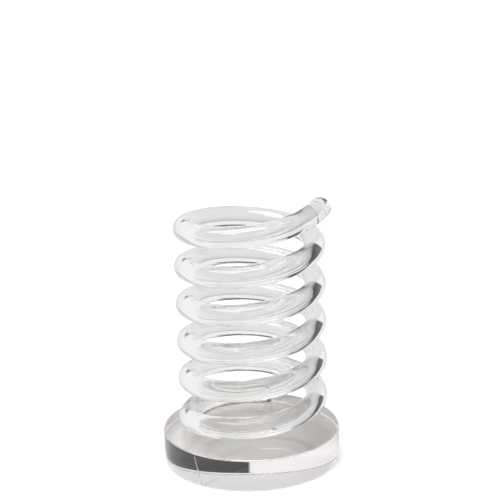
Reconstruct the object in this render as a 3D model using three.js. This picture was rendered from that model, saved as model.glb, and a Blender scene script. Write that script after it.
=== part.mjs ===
// Pen holder cup: a solid clear rod, bent into an open coil, stands on a thick clear disc.
// Millimetres, +Z up. The origin is the middle of the disc's underside.
// Seen from the front (along +Y, with +X to the right) the rod's free end is at the top right.

import * as THREE from 'three';

const TURN = Math.PI * 2;
const radians = THREE.MathUtils.degToRad;

// ---- driving dimensions ----------------------------------------------------------------

const FIT_GAP = 0.3; // clearance that each cemented face keeps to its neighbour

const DISC_DIAMETER = 65;
const DISC_THICKNESS = 12;
const DISC_BEVEL = 0.5;

const ROD_DIAMETER = 8;
const COIL_DIAMETER = 47; // to the middle of the rod
const COIL_SHIFT_X = 1; // the coil is cemented a little off the disc's middle
const PITCH = 14.35;
const FRONT_RISE = 4.6; // how far the front of the lowest turn stands above the resting height

// Angles run counter-clockwise seen from above, and keep growing from turn to turn.
const FRONT_ANGLE = radians(270); // middle of the front of the lowest turn
const START_ANGLE = radians(75); // sawn end at the back, flat on the disc
const LIFT_ANGLE = radians(165); // the rod leaves the disc here
const PITCH_ANGLE = radians(240); // and climbs at the full pitch from here
const FREE_ANGLE = radians(324) + 5 * TURN; // the last stretch opens out from here

const FREE_LENGTH = 15.3; // last stretch, up to the free end
const FREE_RADIUS = COIL_DIAMETER; // it is bent half as tightly as the coil
const FREE_CLIMB = 0.5; // and climbs at half the coil's slope

const BEAD_WIDTH = 1.6;
const BEAD_HEIGHT = 0.42;
const BEAD_OFFSET = 2.45; // from the middle of the rod to the middle of the bead
const BEAD_END_ANGLE = radians(158);

const DISC_SIDES = 96;
const ROD_SIDES = 16;
const ROD_STEPS_PER_TURN = 36;
const BEAD_SIDES = 8;
const BEAD_STEPS = 60;

// ---- sizes that follow from them -------------------------------------------------------

const ROD_RADIUS = ROD_DIAMETER / 2;
const COIL_RADIUS = COIL_DIAMETER / 2;
const RESTING_HEIGHT = DISC_THICKNESS + FIT_GAP + ROD_RADIUS;
const FRONT_HEIGHT = RESTING_HEIGHT + FRONT_RISE;
const CLIMB = PITCH / TURN; // rise for each radian of the coil

// ---- the line that the middle of the rod follows ---------------------------------------

function coilHeight(angle) {
  if (angle <= LIFT_ANGLE) return RESTING_HEIGHT;
  if (angle >= PITCH_ANGLE) return FRONT_HEIGHT + CLIMB * (angle - FRONT_ANGLE);
  const span = PITCH_ANGLE - LIFT_ANGLE;
  const t = (angle - LIFT_ANGLE) / span;
  const rise = coilHeight(PITCH_ANGLE) - RESTING_HEIGHT;
  return RESTING_HEIGHT + rise * t * t * (3 - 2 * t) + CLIMB * span * t * t * (t - 1);
}

class RodLine extends THREE.Curve {
  coilLength = COIL_RADIUS * (FREE_ANGLE - START_ANGLE);

  length = this.coilLength + FREE_LENGTH;

  getPoint(t, target = new THREE.Vector3()) {
    const along = t * this.length;
    if (along <= this.coilLength) {
      const angle = START_ANGLE + along / COIL_RADIUS;
      target.set(Math.cos(angle), Math.sin(angle), 0).multiplyScalar(COIL_RADIUS);
      target.z = coilHeight(angle);
    } else {
      const past = along - this.coilLength;
      const angle = FREE_ANGLE + past / FREE_RADIUS;
      const inward = FREE_RADIUS - COIL_RADIUS;
      target.set(Math.cos(angle), Math.sin(angle), 0).multiplyScalar(FREE_RADIUS);
      target.x -= inward * Math.cos(FREE_ANGLE);
      target.y -= inward * Math.sin(FREE_ANGLE);
      target.z = coilHeight(FREE_ANGLE) + FREE_CLIMB * CLIMB * past / COIL_RADIUS;
    }
    target.x += COIL_SHIFT_X;
    return target;
  }
}

// ---- the line of the cement: up one side of the rod, round its sawn end, down the other ----

class BeadLine extends THREE.Curve {
  sweep = BEAD_END_ANGLE - START_ANGLE;

  outerLength = (COIL_RADIUS + BEAD_OFFSET) * this.sweep;

  bendLength = Math.PI * BEAD_OFFSET;

  innerLength = (COIL_RADIUS - BEAD_OFFSET) * this.sweep;

  getPoint(t, target = new THREE.Vector3()) {
    const along = t * (this.outerLength + this.bendLength + this.innerLength);
    const pastOuter = along - this.outerLength;
    const pastBend = pastOuter - this.bendLength;
    if (pastOuter < 0) {
      this.onArc(target, COIL_RADIUS + BEAD_OFFSET, START_ANGLE - pastOuter / (COIL_RADIUS + BEAD_OFFSET));
    } else if (pastBend < 0) {
      const turned = START_ANGLE - pastOuter / BEAD_OFFSET;
      this.onArc(target, COIL_RADIUS, START_ANGLE);
      target.x += BEAD_OFFSET * Math.cos(turned);
      target.y += BEAD_OFFSET * Math.sin(turned);
    } else {
      this.onArc(target, COIL_RADIUS - BEAD_OFFSET, START_ANGLE + pastBend / (COIL_RADIUS - BEAD_OFFSET));
    }
    target.z = DISC_THICKNESS + FIT_GAP;
    return target;
  }

  onArc(target, radius, angle) {
    target.set(COIL_SHIFT_X + radius * Math.cos(angle), radius * Math.sin(angle), 0);
  }
}

// ---- pieces ----------------------------------------------------------------------------

function clearPlastic(color, opacity) {
  return new THREE.MeshStandardMaterial({ color, opacity, transparent: true, roughness: 0.05, metalness: 0 });
}

function makeDisc() {
  const radius = DISC_DIAMETER / 2;
  const outline = [
    new THREE.Vector2(0, 0),
    new THREE.Vector2(radius - DISC_BEVEL, 0),
    new THREE.Vector2(radius, DISC_BEVEL),
    new THREE.Vector2(radius, DISC_THICKNESS - DISC_BEVEL),
    new THREE.Vector2(radius - DISC_BEVEL, DISC_THICKNESS),
    new THREE.Vector2(0, DISC_THICKNESS),
  ];
  const geometry = new THREE.LatheGeometry(outline, DISC_SIDES);
  geometry.rotateX(Math.PI / 2);
  const disc = new THREE.Mesh(geometry, clearPlastic(0xeceeec, 0.35));
  disc.name = 'base_disc';
  return disc;
}

function makeRod() {
  const line = new RodLine();
  const section = new THREE.Shape();
  section.absarc(0, 0, ROD_RADIUS, 0, TURN);
  const turns = line.length / (COIL_RADIUS * TURN);
  const geometry = new THREE.ExtrudeGeometry(section, {
    extrudePath: line,
    steps: Math.round(turns * ROD_STEPS_PER_TURN),
    curveSegments: ROD_SIDES / 2, // a full ellipse gets two points for each segment
  });
  const rod = new THREE.Mesh(geometry, clearPlastic(0xf2f4f3, 0.35));
  rod.name = 'coil_rod';
  return rod;
}

function makeBead() {
  // The section's x axis points down once it is swept along a level line.
  const section = new THREE.Shape();
  section.absellipse(0, 0, BEAD_HEIGHT, BEAD_WIDTH / 2, Math.PI / 2, Math.PI * 1.5);
  section.closePath();
  const geometry = new THREE.ExtrudeGeometry(section, {
    extrudePath: new BeadLine(),
    steps: BEAD_STEPS,
    curveSegments: BEAD_SIDES,
  });
  const bead = new THREE.Mesh(geometry, clearPlastic(0xf6f5ee, 0.5));
  bead.name = 'cement_bead';
  return bead;
}

const cup = new THREE.Group();
cup.add(makeDisc(), makeRod(), makeBead());

export default cup;
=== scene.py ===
"""Looks for the clear acrylic coil pen cup.

Smooth, detailed pieces stand in for the three CAD solids: the disc, the coiled rod and the
cement that joins them. Metres, in the CAD frame: +Z up, +X right, +Y to the back.
"""

import math

import bpy
from mathutils import Matrix, Vector, noise


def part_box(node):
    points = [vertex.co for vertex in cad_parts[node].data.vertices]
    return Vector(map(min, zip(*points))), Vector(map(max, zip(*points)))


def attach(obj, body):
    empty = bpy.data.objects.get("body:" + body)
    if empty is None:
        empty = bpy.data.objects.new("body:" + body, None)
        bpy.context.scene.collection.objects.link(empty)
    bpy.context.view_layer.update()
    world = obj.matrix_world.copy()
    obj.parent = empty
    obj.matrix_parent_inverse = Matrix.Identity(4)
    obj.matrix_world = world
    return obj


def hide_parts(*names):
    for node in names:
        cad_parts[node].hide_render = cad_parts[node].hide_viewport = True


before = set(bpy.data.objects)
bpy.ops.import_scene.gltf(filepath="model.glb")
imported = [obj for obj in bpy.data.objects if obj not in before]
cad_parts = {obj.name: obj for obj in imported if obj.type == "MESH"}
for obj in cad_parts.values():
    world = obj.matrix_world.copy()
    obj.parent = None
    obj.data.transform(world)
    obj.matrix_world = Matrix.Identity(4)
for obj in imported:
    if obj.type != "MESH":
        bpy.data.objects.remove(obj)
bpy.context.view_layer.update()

MM = 0.001
TURN = math.tau

# ---- sizes taken from the frame -----------------------------------------------------------

DISC_LOW, DISC_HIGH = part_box("base_disc")
ROD_LOW, ROD_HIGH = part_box("coil_rod")

DISC_RADIUS = DISC_HIGH.x
DISC_TOP = DISC_HIGH.z
ROD_RADIUS = 4.0 * MM
COIL_RADIUS = (ROD_HIGH.y - ROD_LOW.y) / 2 - ROD_RADIUS
COIL_X = ROD_LOW.x + ROD_RADIUS + COIL_RADIUS
REST_HEIGHT = ROD_LOW.z + ROD_RADIUS

# ---- the rod's line, as in the CAD model --------------------------------------------------

PITCH = 14.35 * MM
CLIMB = PITCH / TURN
START_ANGLE = math.radians(75)
LIFT_ANGLE = math.radians(165)
PITCH_ANGLE = math.radians(240)
FRONT_ANGLE = math.radians(270)
FREE_ANGLE = math.radians(324) + 5 * TURN
FREE_LENGTH = 15.3 * MM
FREE_RADIUS = 2 * COIL_RADIUS
FREE_CLIMB = 0.5
FRONT_HEIGHT = REST_HEIGHT + 4.6 * MM
COIL_LENGTH = COIL_RADIUS * (FREE_ANGLE - START_ANGLE)
ROD_LENGTH = COIL_LENGTH + FREE_LENGTH


def coil_height(angle):
    """Height of the rod's middle, as the angle grows from turn to turn."""
    if angle <= LIFT_ANGLE:
        return REST_HEIGHT
    if angle >= PITCH_ANGLE:
        return FRONT_HEIGHT + CLIMB * (angle - FRONT_ANGLE)
    span = PITCH_ANGLE - LIFT_ANGLE
    t = (angle - LIFT_ANGLE) / span
    rise = coil_height(PITCH_ANGLE) - REST_HEIGHT
    return REST_HEIGHT + rise * t * t * (3 - 2 * t) + CLIMB * span * t * t * (t - 1)


def rod_point(along):
    """Middle of the rod, a distance along it from its lower end."""
    if along <= COIL_LENGTH:
        angle = START_ANGLE + along / COIL_RADIUS
        return Vector((
            COIL_X + COIL_RADIUS * math.cos(angle),
            COIL_RADIUS * math.sin(angle),
            coil_height(angle),
        ))
    past = along - COIL_LENGTH
    angle = FREE_ANGLE + past / FREE_RADIUS
    inward = FREE_RADIUS - COIL_RADIUS
    return Vector((
        COIL_X + FREE_RADIUS * math.cos(angle) - inward * math.cos(FREE_ANGLE),
        FREE_RADIUS * math.sin(angle) - inward * math.sin(FREE_ANGLE),
        coil_height(FREE_ANGLE) + FREE_CLIMB * CLIMB * past / COIL_RADIUS,
    ))


# ---- mesh helpers -------------------------------------------------------------------------


def mesh_object(name, points, faces):
    mesh = bpy.data.meshes.new(name)
    mesh.from_pydata([tuple(p) for p in points], [], faces)
    mesh.validate()
    mesh.shade_smooth()
    obj = bpy.data.objects.new(name, mesh)
    bpy.context.scene.collection.objects.link(obj)
    return obj


def ring_faces(ring_count, sides):
    """Quads between rings of points, with one flat face on each end."""
    faces = []
    for ring in range(ring_count - 1):
        low = ring * sides
        for side in range(sides):
            after = (side + 1) % sides
            faces.append((low + side, low + after, low + sides + after, low + sides + side))
    last = (ring_count - 1) * sides
    faces.append(tuple(reversed(range(sides))))
    faces.append(tuple(range(last, last + sides)))
    return faces


def flatten_ends(obj):
    """The two end faces are flat, so their edges stay sharp."""
    for face in obj.data.polygons:
        if len(face.vertices) > 4:
            face.use_smooth = False
    obj.data.update()


def store_place(obj, places):
    """Keeps each point's place along the piece, for its material to read."""
    kept = obj.data.attributes.new("place", "FLOAT_VECTOR", "POINT")
    kept.data.foreach_set("vector", [value for place in places for value in place])


SEED_STEP_Y = 7.3
SEED_STEP_Z = 1.9


def wander(position, seed):
    """Smooth noise between about -1 and 1, the same on every run."""
    return 2 * noise.noise(Vector((position, SEED_STEP_Y * seed, SEED_STEP_Z * seed)))


# ---- node helpers -------------------------------------------------------------------------


SCRATCH_STRETCH = 14  # a scratch is this many times longer than it is apart from the next
SCRATCH_GAPS = (0.52, 0.6)


class Tree:
    """A node tree, with a method for each kind of node that the materials need."""

    def __init__(self, tree):
        self.tree = tree

    def add(self, kind, inputs=(), **settings):
        node = self.tree.nodes.new(kind)
        for name, value in settings.items():
            setattr(node, name, value)
        for name, value in dict(inputs).items():
            self.put(value, node.inputs[name])
        return node

    def put(self, value, socket):
        if isinstance(value, bpy.types.NodeSocket):
            self.tree.links.new(value, socket)
        else:
            socket.default_value = value

    def math(self, operation, *values):
        return self.add("ShaderNodeMath", enumerate(values), operation=operation).outputs[0]

    def spread(self, value, low, high, to_low=0.0, to_high=1.0):
        """Smooth step of a value, from low to high."""
        inputs = {"Value": value, "From Min": low, "From Max": high, "To Min": to_low, "To Max": to_high}
        return self.add("ShaderNodeMapRange", inputs, interpolation_type="SMOOTHSTEP").outputs["Result"]

    def band(self, value, low, high, soft):
        """1 where a value is between low and high, with soft edges."""
        rise = self.spread(value, low - soft / 2, low + soft / 2)
        fall = self.spread(value, high - soft / 2, high + soft / 2, 1.0, 0.0)
        return self.math("MULTIPLY", rise, fall)

    def noise(self, place, scale, detail=2.0, roughness=0.5):
        inputs = {"Vector": place, "Scale": scale, "Detail": detail, "Roughness": roughness}
        return self.add("ShaderNodeTexNoise", inputs).outputs["Fac"]

    def stretched(self, place, scale):
        return self.add("ShaderNodeMapping", {"Vector": place, "Scale": scale}).outputs[0]

    def mix_color(self, factor, first, second):
        node = self.add("ShaderNodeMix", data_type="RGBA")
        self.put(factor, node.inputs[0])
        self.put((*first, 1), node.inputs[6])
        self.put((*second, 1), node.inputs[7])
        return node.outputs[2]

    def bump(self, height, depth, under=None):
        inputs = {"Height": height, "Distance": depth, "Strength": 1.0}
        if under is not None:
            inputs["Normal"] = under
        return self.add("ShaderNodeBump", inputs).outputs[0]

    def cells(self, place, scale, feature="F1"):
        """Distance from the nearest of many scattered points, or from the line between two."""
        inputs = {"Vector": place, "Scale": scale}
        return self.add("ShaderNodeTexVoronoi", inputs, feature=feature).outputs["Distance"]

    def scratches(self, place, scale, turn, width):
        """Thin lines, all near one direction, broken up by noise. 1 on a line."""
        turned = self.add("ShaderNodeMapping", {
            "Vector": place,
            "Rotation": (0, 0, turn),
            "Scale": (scale, scale / SCRATCH_STRETCH, scale),
        }).outputs[0]
        line = self.spread(self.cells(turned, 1.0, "DISTANCE_TO_EDGE"), 0.0, width, 1.0, 0.0)
        gaps = self.spread(self.noise(place, scale / 3, 1.0), *SCRATCH_GAPS)
        return self.math("MULTIPLY", line, gaps)


ACRYLIC_IOR = 1.49


def acrylic(name):
    """A new material with a clear acrylic shader, its tree and the shader."""
    material = bpy.data.materials.new(name)
    material.use_nodes = True
    shader = material.node_tree.nodes["Principled BSDF"]
    shader.inputs["Transmission Weight"].default_value = 1.0
    shader.inputs["IOR"].default_value = ACRYLIC_IOR
    return material, Tree(material.node_tree), shader


# ---- materials ----------------------------------------------------------------------------

# A pattern's scale is in waves to a metre, or to a millimetre of the rod's "place". Noise runs
# from 0 to 1 and mostly stays near 0.5, so a pair of levels says where a pattern starts and ends.

ROD_CLEAR = (0.985, 0.99, 0.988)
ROD_TINT = (0.955, 0.962, 0.955)
TINT_SCALE = 0.15
DRAW_LINE_SCALE = (9, 9, 0.05)  # across, across and along the rod
DRAW_LINE_DEPTH = 0.0005 * MM
RIPPLE_SCALE = (0.8, 0.8, 0.22)
RIPPLE_DEPTH = 0.006 * MM
PRINT_SCALE = 90.0
PRINT_LEVELS = (0.56, 0.72)
SKIN_SCALE = 900.0
PRINT_ROUGHNESS = 0.02


def rod_material():
    """Extruded rod: faint draw lines along it, and a few fingerprints."""
    material, tree, shader = acrylic("rod_acrylic")
    place = tree.add("ShaderNodeAttribute", attribute_name="place").outputs["Vector"]
    spot = tree.add("ShaderNodeTexCoord").outputs["Object"]
    draw_lines = tree.noise(tree.stretched(place, DRAW_LINE_SCALE), 1.0, 3.0)
    ripples = tree.noise(tree.stretched(place, RIPPLE_SCALE), 1.0, 1.0)
    lined = tree.bump(draw_lines, DRAW_LINE_DEPTH)
    tree.put(tree.bump(ripples, RIPPLE_DEPTH, lined), shader.inputs["Normal"])
    prints = tree.spread(tree.noise(spot, PRINT_SCALE, 3.0), *PRINT_LEVELS)
    smears = tree.math("MULTIPLY", prints, tree.noise(spot, SKIN_SCALE))
    tree.put(tree.math("MULTIPLY", smears, PRINT_ROUGHNESS), shader.inputs["Roughness"])
    cloud = tree.noise(place, TINT_SCALE)
    tree.put(tree.mix_color(cloud, ROD_CLEAR, ROD_TINT), shader.inputs["Base Color"])
    return material


SAWN_CLEARNESS = 0.45  # the saw's fine chips scatter the rest of the light
SAWN_DARK = (0.93, 0.94, 0.93)
SAWN_LIGHT = (0.99, 0.99, 0.98)
SAWN_ROUGHNESS = (0.25, 0.5)
SAW_MARK_SCALE = 900.0
SAW_MARK_WAVER = 3.0
SAW_MARK_DEPTH = 0.02 * MM
SAW_GRAIN_SCALE = 4000.0
SAW_GRAIN_LEVELS = (0.3, 0.7)


def sawn_material():
    """The rod's hidden lower end is left as the saw cut it: frosted, with wavering saw marks."""
    material, tree, shader = acrylic("rod_sawn_end")
    shader.inputs["Transmission Weight"].default_value = SAWN_CLEARNESS
    spot = tree.add("ShaderNodeTexCoord").outputs["Object"]
    wave = {"Vector": spot, "Scale": SAW_MARK_SCALE, "Distortion": SAW_MARK_WAVER, "Detail": 2.0}
    marks = tree.add("ShaderNodeTexWave", wave, bands_direction="Z").outputs["Fac"]
    tree.put(tree.bump(marks, SAW_MARK_DEPTH), shader.inputs["Normal"])
    grain = tree.noise(spot, SAW_GRAIN_SCALE, 3.0)
    tree.put(tree.spread(grain, *SAW_GRAIN_LEVELS, *SAWN_ROUGHNESS), shader.inputs["Roughness"])
    tree.put(tree.mix_color(grain, SAWN_DARK, SAWN_LIGHT), shader.inputs["Base Color"])
    return material


DISC_CLEAR = (0.99, 0.98, 0.978)
DISC_HAZE_AND_PAINTED_SHADE = (0.985, 0.94, 0.93)  # a faint warm filmy tint; on the top face it is painted shade, the warm tone of the shaded floor seen through
HAZE_AND_SHADE_SCALE = 40.0
HAZE_EVERYWHERE = 0.5
PAINTED_SHADE_ON_TOP = 0.9  # added on the top face: painted shade, the warm tone of the shaded floor under the disc seen through it
TOP_FACE = DISC_TOP - 0.05 * MM
SCORE_ANGLE = math.radians(-34)  # from the front, growing to the right
SCORE_LEAN = 9.5  # radians round the disc for each metre up
SCORE_WIDTH = 0.012
SCORE_TOP = 11.0 * MM
FINE_SCRATCHES = (420.0, 0.5, 0.03)  # scale, turn and width
CROSSING_SCRATCHES = (300.0, -0.9, 0.025)
SCRATCH_STRENGTH = 0.2
NICK_SCALE = 260.0
NICK_SIZES = (0.04, 0.08)
NICK_PATCH_SCALE = 60.0
NICK_LEVELS = (0.5, 0.55)
CUT_DEPTH = 0.01 * MM
CUT_ROUGHNESS = 0.7
POLISH_SCALE = (60, 60, 25)
POLISH_DEPTH = 0.0015 * MM
RUBBED_HEIGHTS = (0.2 * MM, 0.8 * MM)
RUBBED_RADII = (DISC_RADIUS - 0.6 * MM, DISC_RADIUS - 0.3 * MM)
RUBBED_SCALE = 350.0
RUBBED_LEVELS = (0.4, 0.7)
RUBBED_ROUGHNESS = 0.3
SMEAR_SCALE = 70.0
SMEAR_LEVELS = (0.5, 0.75)
SMEAR_ROUGHNESS = 0.05


def disc_cuts(tree, spot, x, y, z):
    """The score down the disc's side, and a few nicks. 1 in a cut."""
    around = tree.math("ARCTAN2", x, tree.math("MULTIPLY", y, -1.0))
    leaning = tree.math("MULTIPLY_ADD", z, SCORE_LEAN, around)
    score = tree.band(leaning, SCORE_ANGLE, SCORE_ANGLE + SCORE_WIDTH, SCORE_WIDTH / 2)
    score = tree.math("MULTIPLY", score, tree.math("LESS_THAN", z, SCORE_TOP))
    nicks = tree.spread(tree.cells(spot, NICK_SCALE), *NICK_SIZES, 1.0, 0.0)
    patches = tree.spread(tree.noise(spot, NICK_PATCH_SCALE, 1.0), *NICK_LEVELS)
    return tree.math("MAXIMUM", score, tree.math("MULTIPLY", nicks, patches))


def disc_rubbed(tree, spot, x, y, z):
    """Where the disc's lower edge is rubbed dull by the table. 1 where it is dullest."""
    radius = tree.math("SQRT", tree.math("ADD", tree.math("POWER", x, 2.0), tree.math("POWER", y, 2.0)))
    low = tree.spread(z, *RUBBED_HEIGHTS, 1.0, 0.0)
    low_edge = tree.math("MULTIPLY", low, tree.spread(radius, *RUBBED_RADII))
    return tree.math("MULTIPLY", low_edge, tree.spread(tree.noise(spot, RUBBED_SCALE, 4.0), *RUBBED_LEVELS))


def disc_material():
    """Cast sheet: scratches on top, a warm tint that is faint everywhere and stronger on the top face as
    painted shade, a rubbed lower edge, nicks and one score down its side.
    """
    material, tree, shader = acrylic("disc_acrylic")
    spot = tree.add("ShaderNodeTexCoord").outputs["Object"]
    x, y, z = tree.add("ShaderNodeSeparateXYZ", {"Vector": spot}).outputs
    facing_up = tree.math("GREATER_THAN", z, TOP_FACE)
    scratches = [tree.scratches(spot, *kind) for kind in (FINE_SCRATCHES, CROSSING_SCRATCHES)]
    worn = tree.math("MULTIPLY", tree.math("MAXIMUM", *scratches), facing_up)
    worn = tree.math("MULTIPLY", worn, SCRATCH_STRENGTH)
    marks = tree.math("MAXIMUM", worn, disc_cuts(tree, spot, x, y, z))
    waves = tree.bump(tree.noise(tree.stretched(spot, POLISH_SCALE), 1.0, 1.0), POLISH_DEPTH)
    tree.put(tree.bump(marks, -CUT_DEPTH, waves), shader.inputs["Normal"])
    smears = tree.spread(tree.noise(spot, SMEAR_SCALE, 4.0), *SMEAR_LEVELS, 0.0, SMEAR_ROUGHNESS)
    smears = tree.math("MULTIPLY", smears, facing_up)
    rubbed = tree.math("MULTIPLY", disc_rubbed(tree, spot, x, y, z), RUBBED_ROUGHNESS)
    dull = tree.math("MAXIMUM", rubbed, smears)
    cut = tree.math("MULTIPLY", marks, CUT_ROUGHNESS)
    tree.put(tree.math("MAXIMUM", dull, cut), shader.inputs["Roughness"])
    # the warm tint on the top face is painted shade: the warm tone of the shaded floor under the disc, seen
    # through it
    film_and_painted_shade = tree.math("MULTIPLY_ADD", facing_up, PAINTED_SHADE_ON_TOP, HAZE_EVERYWHERE)
    haze_and_painted_shade = tree.math("MULTIPLY", tree.noise(spot, HAZE_AND_SHADE_SCALE), film_and_painted_shade)
    tree.put(tree.mix_color(haze_and_painted_shade, DISC_CLEAR, DISC_HAZE_AND_PAINTED_SHADE), shader.inputs["Base Color"])
    return material


CEMENT_CLEAR = (0.97, 0.97, 0.95)
CEMENT_MILKY = (0.9, 0.89, 0.84)
CEMENT_ROUGHNESS = (0.05, 0.4)
MILKY_SCALE = 260.0
MILKY_LEVELS = (0.4, 0.65)
BUBBLE_SCALE = 1600.0
BUBBLE_SIZES = (0.1, 0.25)
BUBBLE_DEPTH = 0.04 * MM
RUN_SCALE = 500.0
RUN_DEPTH = 0.08 * MM


def cement_material():
    """Cured cement: clear to milky, with tiny bubbles."""
    material, tree, shader = acrylic("acrylic_cement")
    spot = tree.add("ShaderNodeTexCoord").outputs["Object"]
    pits = tree.spread(tree.cells(spot, BUBBLE_SCALE), *BUBBLE_SIZES, 1.0, 0.0)
    runs = tree.bump(tree.noise(spot, RUN_SCALE, 3.0), RUN_DEPTH)
    tree.put(tree.bump(pits, -BUBBLE_DEPTH, runs), shader.inputs["Normal"])
    milky = tree.spread(tree.noise(spot, MILKY_SCALE, 3.0), *MILKY_LEVELS)
    tree.put(tree.spread(milky, 0.0, 1.0, *CEMENT_ROUGHNESS), shader.inputs["Roughness"])
    tree.put(tree.mix_color(milky, CEMENT_CLEAR, CEMENT_MILKY), shader.inputs["Base Color"])
    return material


# ---- rod ----------------------------------------------------------------------------------

ROD_SIDES = 64
ROD_STEP = 1.0 * MM
END_ROUNDING = 0.5 * MM
END_BENDS = 6
FLAT_BEND = 0.012  # a bent rod is this much thinner towards the coil's middle
HAND_SWAY = 0.09 * MM
HAND_SWAY_LENGTH = 24 * MM
SURFACE_SWAY = 0.018 * MM
SURFACE_SWAY_LENGTH = 9 * MM
SURFACE_SWAY_ROUND = 1.3  # how fast the sway changes round the rod
AHEAD_SAMPLE = 0.1 * MM  # half the stretch that gives the rod's direction at a point
FREE_SWELL = 0.05 * MM  # the flame that polished the free end swelled it a little
FREE_SWELL_LENGTH = 2.2 * MM


def rounded_lead():
    """Distance from the end and size of each ring that rounds an end's edge."""
    lead = []
    for i in range(END_BENDS + 1):
        turn = math.pi / 2 * i / END_BENDS
        size = 1 - END_ROUNDING / ROD_RADIUS * (1 - math.sin(turn))
        lead.append((END_ROUNDING * (1 - math.cos(turn)), size))
    return lead


def make_rod():
    steps = round(ROD_LENGTH / ROD_STEP)
    lead = rounded_lead()
    stations = lead + [(ROD_LENGTH * i / steps, 1.0) for i in range(1, steps)]
    stations += [(ROD_LENGTH - along, size) for along, size in reversed(lead)]
    points = []
    places = []
    for along, size in stations:
        before = rod_point(max(along - AHEAD_SAMPLE, 0))
        after = rod_point(min(along + AHEAD_SAMPLE, ROD_LENGTH))
        ahead = (after - before).normalized()
        across = Vector((-ahead.y, ahead.x, 0)).normalized()
        above = ahead.cross(across)
        lifted = min(1.0, max(0.0, along / COIL_RADIUS - (LIFT_ANGLE - START_ANGLE)))
        step = along / HAND_SWAY_LENGTH
        middle = rod_point(along)
        middle += lifted * HAND_SWAY * (across * wander(step, 1) + above * wander(step, 2))
        swell = FREE_SWELL * math.exp(-((ROD_LENGTH - along) / FREE_SWELL_LENGTH) ** 2)
        radius = (ROD_RADIUS + swell) * size
        for side in range(ROD_SIDES):
            turn = TURN * side / ROD_SIDES
            outward, upward = math.cos(turn), math.sin(turn)
            rounded = Vector((0, outward, upward)) * SURFACE_SWAY_ROUND
            rounded.x = along / SURFACE_SWAY_LENGTH
            sway = SURFACE_SWAY * noise.noise(rounded)
            point = across * outward * (1 - FLAT_BEND) + above * upward
            points.append(middle + point * (radius + sway * lifted))
            places.append((outward * ROD_RADIUS / MM, upward * ROD_RADIUS / MM, along / MM))
    rod = mesh_object("rod", points, ring_faces(len(stations), ROD_SIDES))
    flatten_ends(rod)
    store_place(rod, places)
    rod.data.materials.append(rod_material())
    rod.data.materials.append(sawn_material())
    sawn_end = [face for face in rod.data.polygons if len(face.vertices) > 4][0]
    sawn_end.material_index = 1
    return rod


# ---- disc ---------------------------------------------------------------------------------

DISC_SIDES = 256
DISC_BEVEL = 0.5 * MM
RIM_BENDS = 5
RIM_SUPPORT = 0.05 * MM
EDGE_SWAY = 0.03 * MM  # the edge was sanded and polished by hand
EDGE_SWAY_ROUND = 3  # how fast the sway changes round the disc
EDGE_SWAY_SEED = 0.5


def make_disc():
    rim = []
    for i in range(RIM_BENDS + 1):
        turn = math.pi / 2 * i / RIM_BENDS
        rim.append((DISC_RADIUS - DISC_BEVEL * (1 - math.sin(turn)), DISC_BEVEL * (1 - math.cos(turn))))
    rim.append((DISC_RADIUS, DISC_BEVEL + RIM_SUPPORT))
    rim += [(radius, DISC_TOP - height) for radius, height in reversed(rim)]
    points = []
    for radius, height in rim:
        for side in range(DISC_SIDES):
            turn = TURN * side / DISC_SIDES
            round_the_disc = Vector((math.cos(turn), math.sin(turn), 0)) * EDGE_SWAY_ROUND
            round_the_disc.z = EDGE_SWAY_SEED
            reach = radius + EDGE_SWAY * (noise.noise(round_the_disc) - 0.5)
            points.append(Vector((reach * math.cos(turn), reach * math.sin(turn), height)))
    disc = mesh_object("disc", points, ring_faces(len(rim), DISC_SIDES))
    flatten_ends(disc)
    disc.data.materials.append(disc_material())
    return disc


# ---- cement -------------------------------------------------------------------------------

CEMENT_GAP = 0.02 * MM  # air between the cement and its neighbours
CEMENT_REACH = 1.75 * MM  # how far the fillet reaches from under the rod's middle
CEMENT_HOLD = 1.2 * MM  # how far it holds on to the rod
CEMENT_END = math.radians(160)
CEMENT_PAST = 0.9 * MM  # how far it runs out past the sawn end
CEMENT_STEP = 0.35 * MM
CEMENT_TAPER = 2.5 * MM  # each end of the bead narrows over this length
CEMENT_THINNEST = 0.05
CEMENT_SWAY = 0.16
CEMENT_SWAY_LENGTH = 3 * MM
FILLET_STEPS = 6
HOLD_STEPS = 8


def rod_underside(offset):
    """Height of the rod's underside, to one side of its middle."""
    return REST_HEIGHT - math.sqrt(ROD_RADIUS ** 2 - offset ** 2)


def cement_section(fullness, left, right):
    """Outline of the cement, seen along the rod: flat below, hollow fillets, the rod above."""
    floor = DISC_TOP + CEMENT_GAP
    outline = []
    for side, reach in ((1, right), (-1, left)):
        hold = CEMENT_HOLD * fullness * reach
        foot = CEMENT_REACH * fullness * reach
        top = rod_underside(hold) - CEMENT_GAP
        fillet = []
        for i in range(FILLET_STEPS + 1):
            t = i / FILLET_STEPS
            bend = (1 - t) ** 2
            fillet.append((side * (hold + (foot - hold) * t), floor + (top - floor) * bend))
        outline.append((hold, fillet))
    right_hold, right_fillet = outline[0]
    left_hold, left_fillet = outline[1]
    under = []
    for i in range(1, HOLD_STEPS):
        offset = right_hold + (-left_hold - right_hold) * i / HOLD_STEPS
        under.append((offset, rod_underside(offset) - CEMENT_GAP))
    return list(reversed(left_fillet)) + list(reversed(under)) + right_fillet


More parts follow.
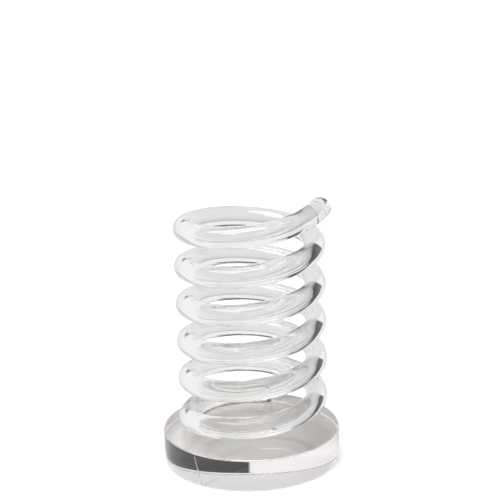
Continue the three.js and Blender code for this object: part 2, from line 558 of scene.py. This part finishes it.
def make_cement():
    length = COIL_RADIUS * (CEMENT_END - START_ANGLE) + CEMENT_PAST
    steps = round(length / CEMENT_STEP)
    points = []
    for i in range(steps + 1):
        along = length * i / steps
        angle = START_ANGLE + (along - CEMENT_PAST) / COIL_RADIUS
        near_end = min(1.0, min(along, length - along) / CEMENT_TAPER)
        rounded = math.sqrt(max(0.0, 1 - (1 - near_end) ** 2))
        fullness = CEMENT_THINNEST + (1 - CEMENT_THINNEST) * rounded
        left = 1 + CEMENT_SWAY * wander(along / CEMENT_SWAY_LENGTH, 3)
        right = 1 + CEMENT_SWAY * wander(along / CEMENT_SWAY_LENGTH, 4)
        for offset, height in cement_section(fullness, left, right):
            reach = COIL_RADIUS + offset
            points.append(Vector((COIL_X + reach * math.cos(angle), reach * math.sin(angle), height)))
    sides = len(points) // (steps + 1)
    cement = mesh_object("cement", points, ring_faces(steps + 1, sides))
    flatten_ends(cement)
    cement.data.materials.append(cement_material())
    return cement


rod = make_rod()
disc = make_disc()
cement = make_cement()
for piece, node, slot in (
    (rod, "coil_rod", "rod_acrylic"),
    (disc, "base_disc", "disc_acrylic"),
    (cement, "cement_bead", "acrylic_cement"),
):
    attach(piece, "root")
    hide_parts(node)

# ---- studio -------------------------------------------------------------------------------

FLOOR_REACH = 12.0
FLOOR_DROP = 0.02 * MM
PAINTED_LIGHT_REACH = 1.2 * DISC_RADIUS
FLOOR_WHITE = (0.95, 0.95, 0.945)
FLOOR_GREY = (0.43, 0.43, 0.426)
FLOOR_ROUGHNESS = 0.9
FLOOR_SHINE = 0.1


def floor_material():
    """Matt paper: white to the camera, light grey to what the acrylic bends, and white under the cup as
    painted light that lifts the cup's shade.
    """
    material = bpy.data.materials.new("floor_paper")
    material.use_nodes = True
    tree = Tree(material.node_tree)
    shader = material.node_tree.nodes["Principled BSDF"]
    shader.inputs["Roughness"].default_value = FLOOR_ROUGHNESS
    shader.inputs["Specular IOR Level"].default_value = FLOOR_SHINE
    spot = tree.add("ShaderNodeTexCoord").outputs["Object"]
    distance = tree.add("ShaderNodeVectorMath", {0: spot}, operation="LENGTH").outputs["Value"]
    # painted light: the floor under the cup is whiter to what the acrylic bends, lifting the shade the cup
    # casts there
    painted_light_under_cup = tree.spread(distance, DISC_RADIUS, PAINTED_LIGHT_REACH, 1.0, 0.0)
    seen = tree.add("ShaderNodeLightPath").outputs["Is Camera Ray"]
    white = tree.math("MAXIMUM", painted_light_under_cup, seen)
    tree.put(tree.mix_color(white, FLOOR_GREY, FLOOR_WHITE), shader.inputs["Base Color"])
    return material


def make_floor():
    corners = [(-1, -1), (1, -1), (1, 1), (-1, 1)]
    points = [(x * FLOOR_REACH, y * FLOOR_REACH, -FLOOR_DROP) for x, y in corners]
    floor = mesh_object("floor", points, [(0, 1, 2, 3)])
    floor.data.materials.append(floor_material())


# Directions round the cup, in degrees: a bearing is 0 to the back and grows to the right.
STUDIO_LEFT = 0.92
STUDIO_RIGHT = 0.86
SIDE_SOFT = 30.0
RIGHT_WALL = (1.5, 100.0)  # bearings of a dark wall's two ends
FRONT_WALL = (-165.0, -105.0)
DARK_LEVEL = 0.03
MIRRORED_DARK = 0.2  # how much of the walls shows in plain reflections
FLOOR_LIGHT = 1.15  # what the floor receives, so that it is white as far as the horizon
WALL_BOTTOM = 18.5
WALL_BOTTOM_RISE = 0.03
WALL_TOP = 60.0
WALL_LEAN = 0.5  # a wall's first end leans to the right as it goes up
LEAN_HEIGHT = 25.0  # where the first end has its bearing
END_SOFT = 1.5
BOTTOM_SOFT = 2.5
FAR_SOFT = 12.0


def wall(tree, bearing, height, ends):
    """1 where a direction meets a dark wall, 0 where it misses it."""
    first, last = ends
    upright = tree.math("MULTIPLY_ADD", height, -WALL_LEAN, bearing)
    edge = first - WALL_LEAN * LEAN_HEIGHT
    above = tree.math("MULTIPLY_ADD", bearing, -WALL_BOTTOM_RISE, height)
    inside = tree.spread(upright, edge - END_SOFT / 2, edge + END_SOFT / 2)
    for side in (
        tree.spread(bearing, last, last + FAR_SOFT, 1.0, 0.0),
        tree.spread(above, WALL_BOTTOM, WALL_BOTTOM + BOTTOM_SOFT),
        tree.spread(height, WALL_TOP, WALL_TOP + FAR_SOFT, 1.0, 0.0),
    ):
        inside = tree.math("MULTIPLY", inside, side)
    return inside


def make_world():
    """White studio with two dark walls, which edge the clear parts. The camera itself sees white."""
    world = bpy.data.worlds.new("studio")
    bpy.context.scene.world = world
    world.use_nodes = True
    tree = Tree(world.node_tree)
    direction = tree.add("ShaderNodeTexCoord").outputs["Generated"]
    x, y, z = tree.add("ShaderNodeSeparateXYZ", {"Vector": direction}).outputs
    bearing = tree.math("DEGREES", tree.math("ARCTAN2", x, y))
    height = tree.math("DEGREES", tree.math("ARCSINE", z))
    walls = [wall(tree, bearing, height, ends) for ends in (RIGHT_WALL, FRONT_WALL)]
    path = tree.add("ShaderNodeLightPath").outputs
    mirrored = tree.math("MULTIPLY_ADD", path["Is Reflection Ray"], MIRRORED_DARK - 1, 1.0)
    dark = tree.math("MULTIPLY", tree.math("MAXIMUM", *walls), mirrored)
    pale = tree.spread(bearing, -SIDE_SOFT / 2, SIDE_SOFT / 2, STUDIO_LEFT, STUDIO_RIGHT)
    lit = tree.math("SUBTRACT", 1.0, dark)
    studio = tree.math("MULTIPLY_ADD", pale, lit, tree.math("MULTIPLY", dark, DARK_LEVEL))
    background = world.node_tree.nodes["Background"]
    background.inputs["Color"].default_value = (1, 1, 1, 1)
    for_floor = tree.math("MULTIPLY", path["Is Diffuse Ray"], FLOOR_LIGHT)
    studio = tree.math("MAXIMUM", studio, tree.math("MAXIMUM", for_floor, path["Is Camera Ray"]))
    tree.put(studio, background.inputs["Strength"])


LAMP_PLACE = Vector((-0.25, -0.1, 0.9))
LAMP_AIM = Vector((0, 0, 0.05))
LAMP_SIZE = 0.7
LAMP_WATTS = 8.0


def make_lamp():
    """A wide soft lamp overhead, which gives the cup its faint shadow."""
    data = bpy.data.lights.new("overhead", "AREA")
    data.size = LAMP_SIZE
    data.energy = LAMP_WATTS
    lamp = bpy.data.objects.new("overhead", data)
    bpy.context.scene.collection.objects.link(lamp)
    lamp.location = LAMP_PLACE
    lamp.rotation_euler = (LAMP_AIM - LAMP_PLACE).to_track_quat("-Z", "Y").to_euler()


CAMERA_TARGET = Vector((1.16, 0, 80.1)) * MM
CAMERA_DISTANCE = 690.7 * MM
CAMERA_DOWN = math.radians(17.88)
CAMERA_ROLL = math.radians(-1.435)
CAMERA_LENS = 138.1
CAMERA_SENSOR = 36


def make_camera():
    forward = Vector((0, math.cos(CAMERA_DOWN), -math.sin(CAMERA_DOWN)))
    level_right = Vector((1, 0, 0))
    level_up = level_right.cross(forward)
    right = level_right * math.cos(CAMERA_ROLL) + level_up * math.sin(CAMERA_ROLL)
    up = level_up * math.cos(CAMERA_ROLL) - level_right * math.sin(CAMERA_ROLL)
    data = bpy.data.cameras.new("camera")
    data.sensor_width = CAMERA_SENSOR
    data.lens = CAMERA_LENS
    camera = bpy.data.objects.new("camera", data)
    bpy.context.scene.collection.objects.link(camera)
    turn = Matrix((right, up, -forward)).transposed()
    place = Matrix.Translation(CAMERA_TARGET - forward * CAMERA_DISTANCE)
    camera.matrix_world = place @ turn.to_4x4()
    bpy.context.scene.camera = camera


make_floor()
make_world()
make_lamp()
make_camera()

CLEAR_BOUNCES = 64  # light runs a long way inside the rod before it leaves
DIFFUSE_BOUNCES = 4
BRIGHTEST_INDIRECT = 8

scene = bpy.context.scene
scene.view_settings.view_transform = "Standard"
scene.cycles.max_bounces = CLEAR_BOUNCES
scene.cycles.transmission_bounces = CLEAR_BOUNCES
scene.cycles.glossy_bounces = CLEAR_BOUNCES
scene.cycles.diffuse_bounces = DIFFUSE_BOUNCES
scene.cycles.sample_clamp_indirect = BRIGHTEST_INDIRECT
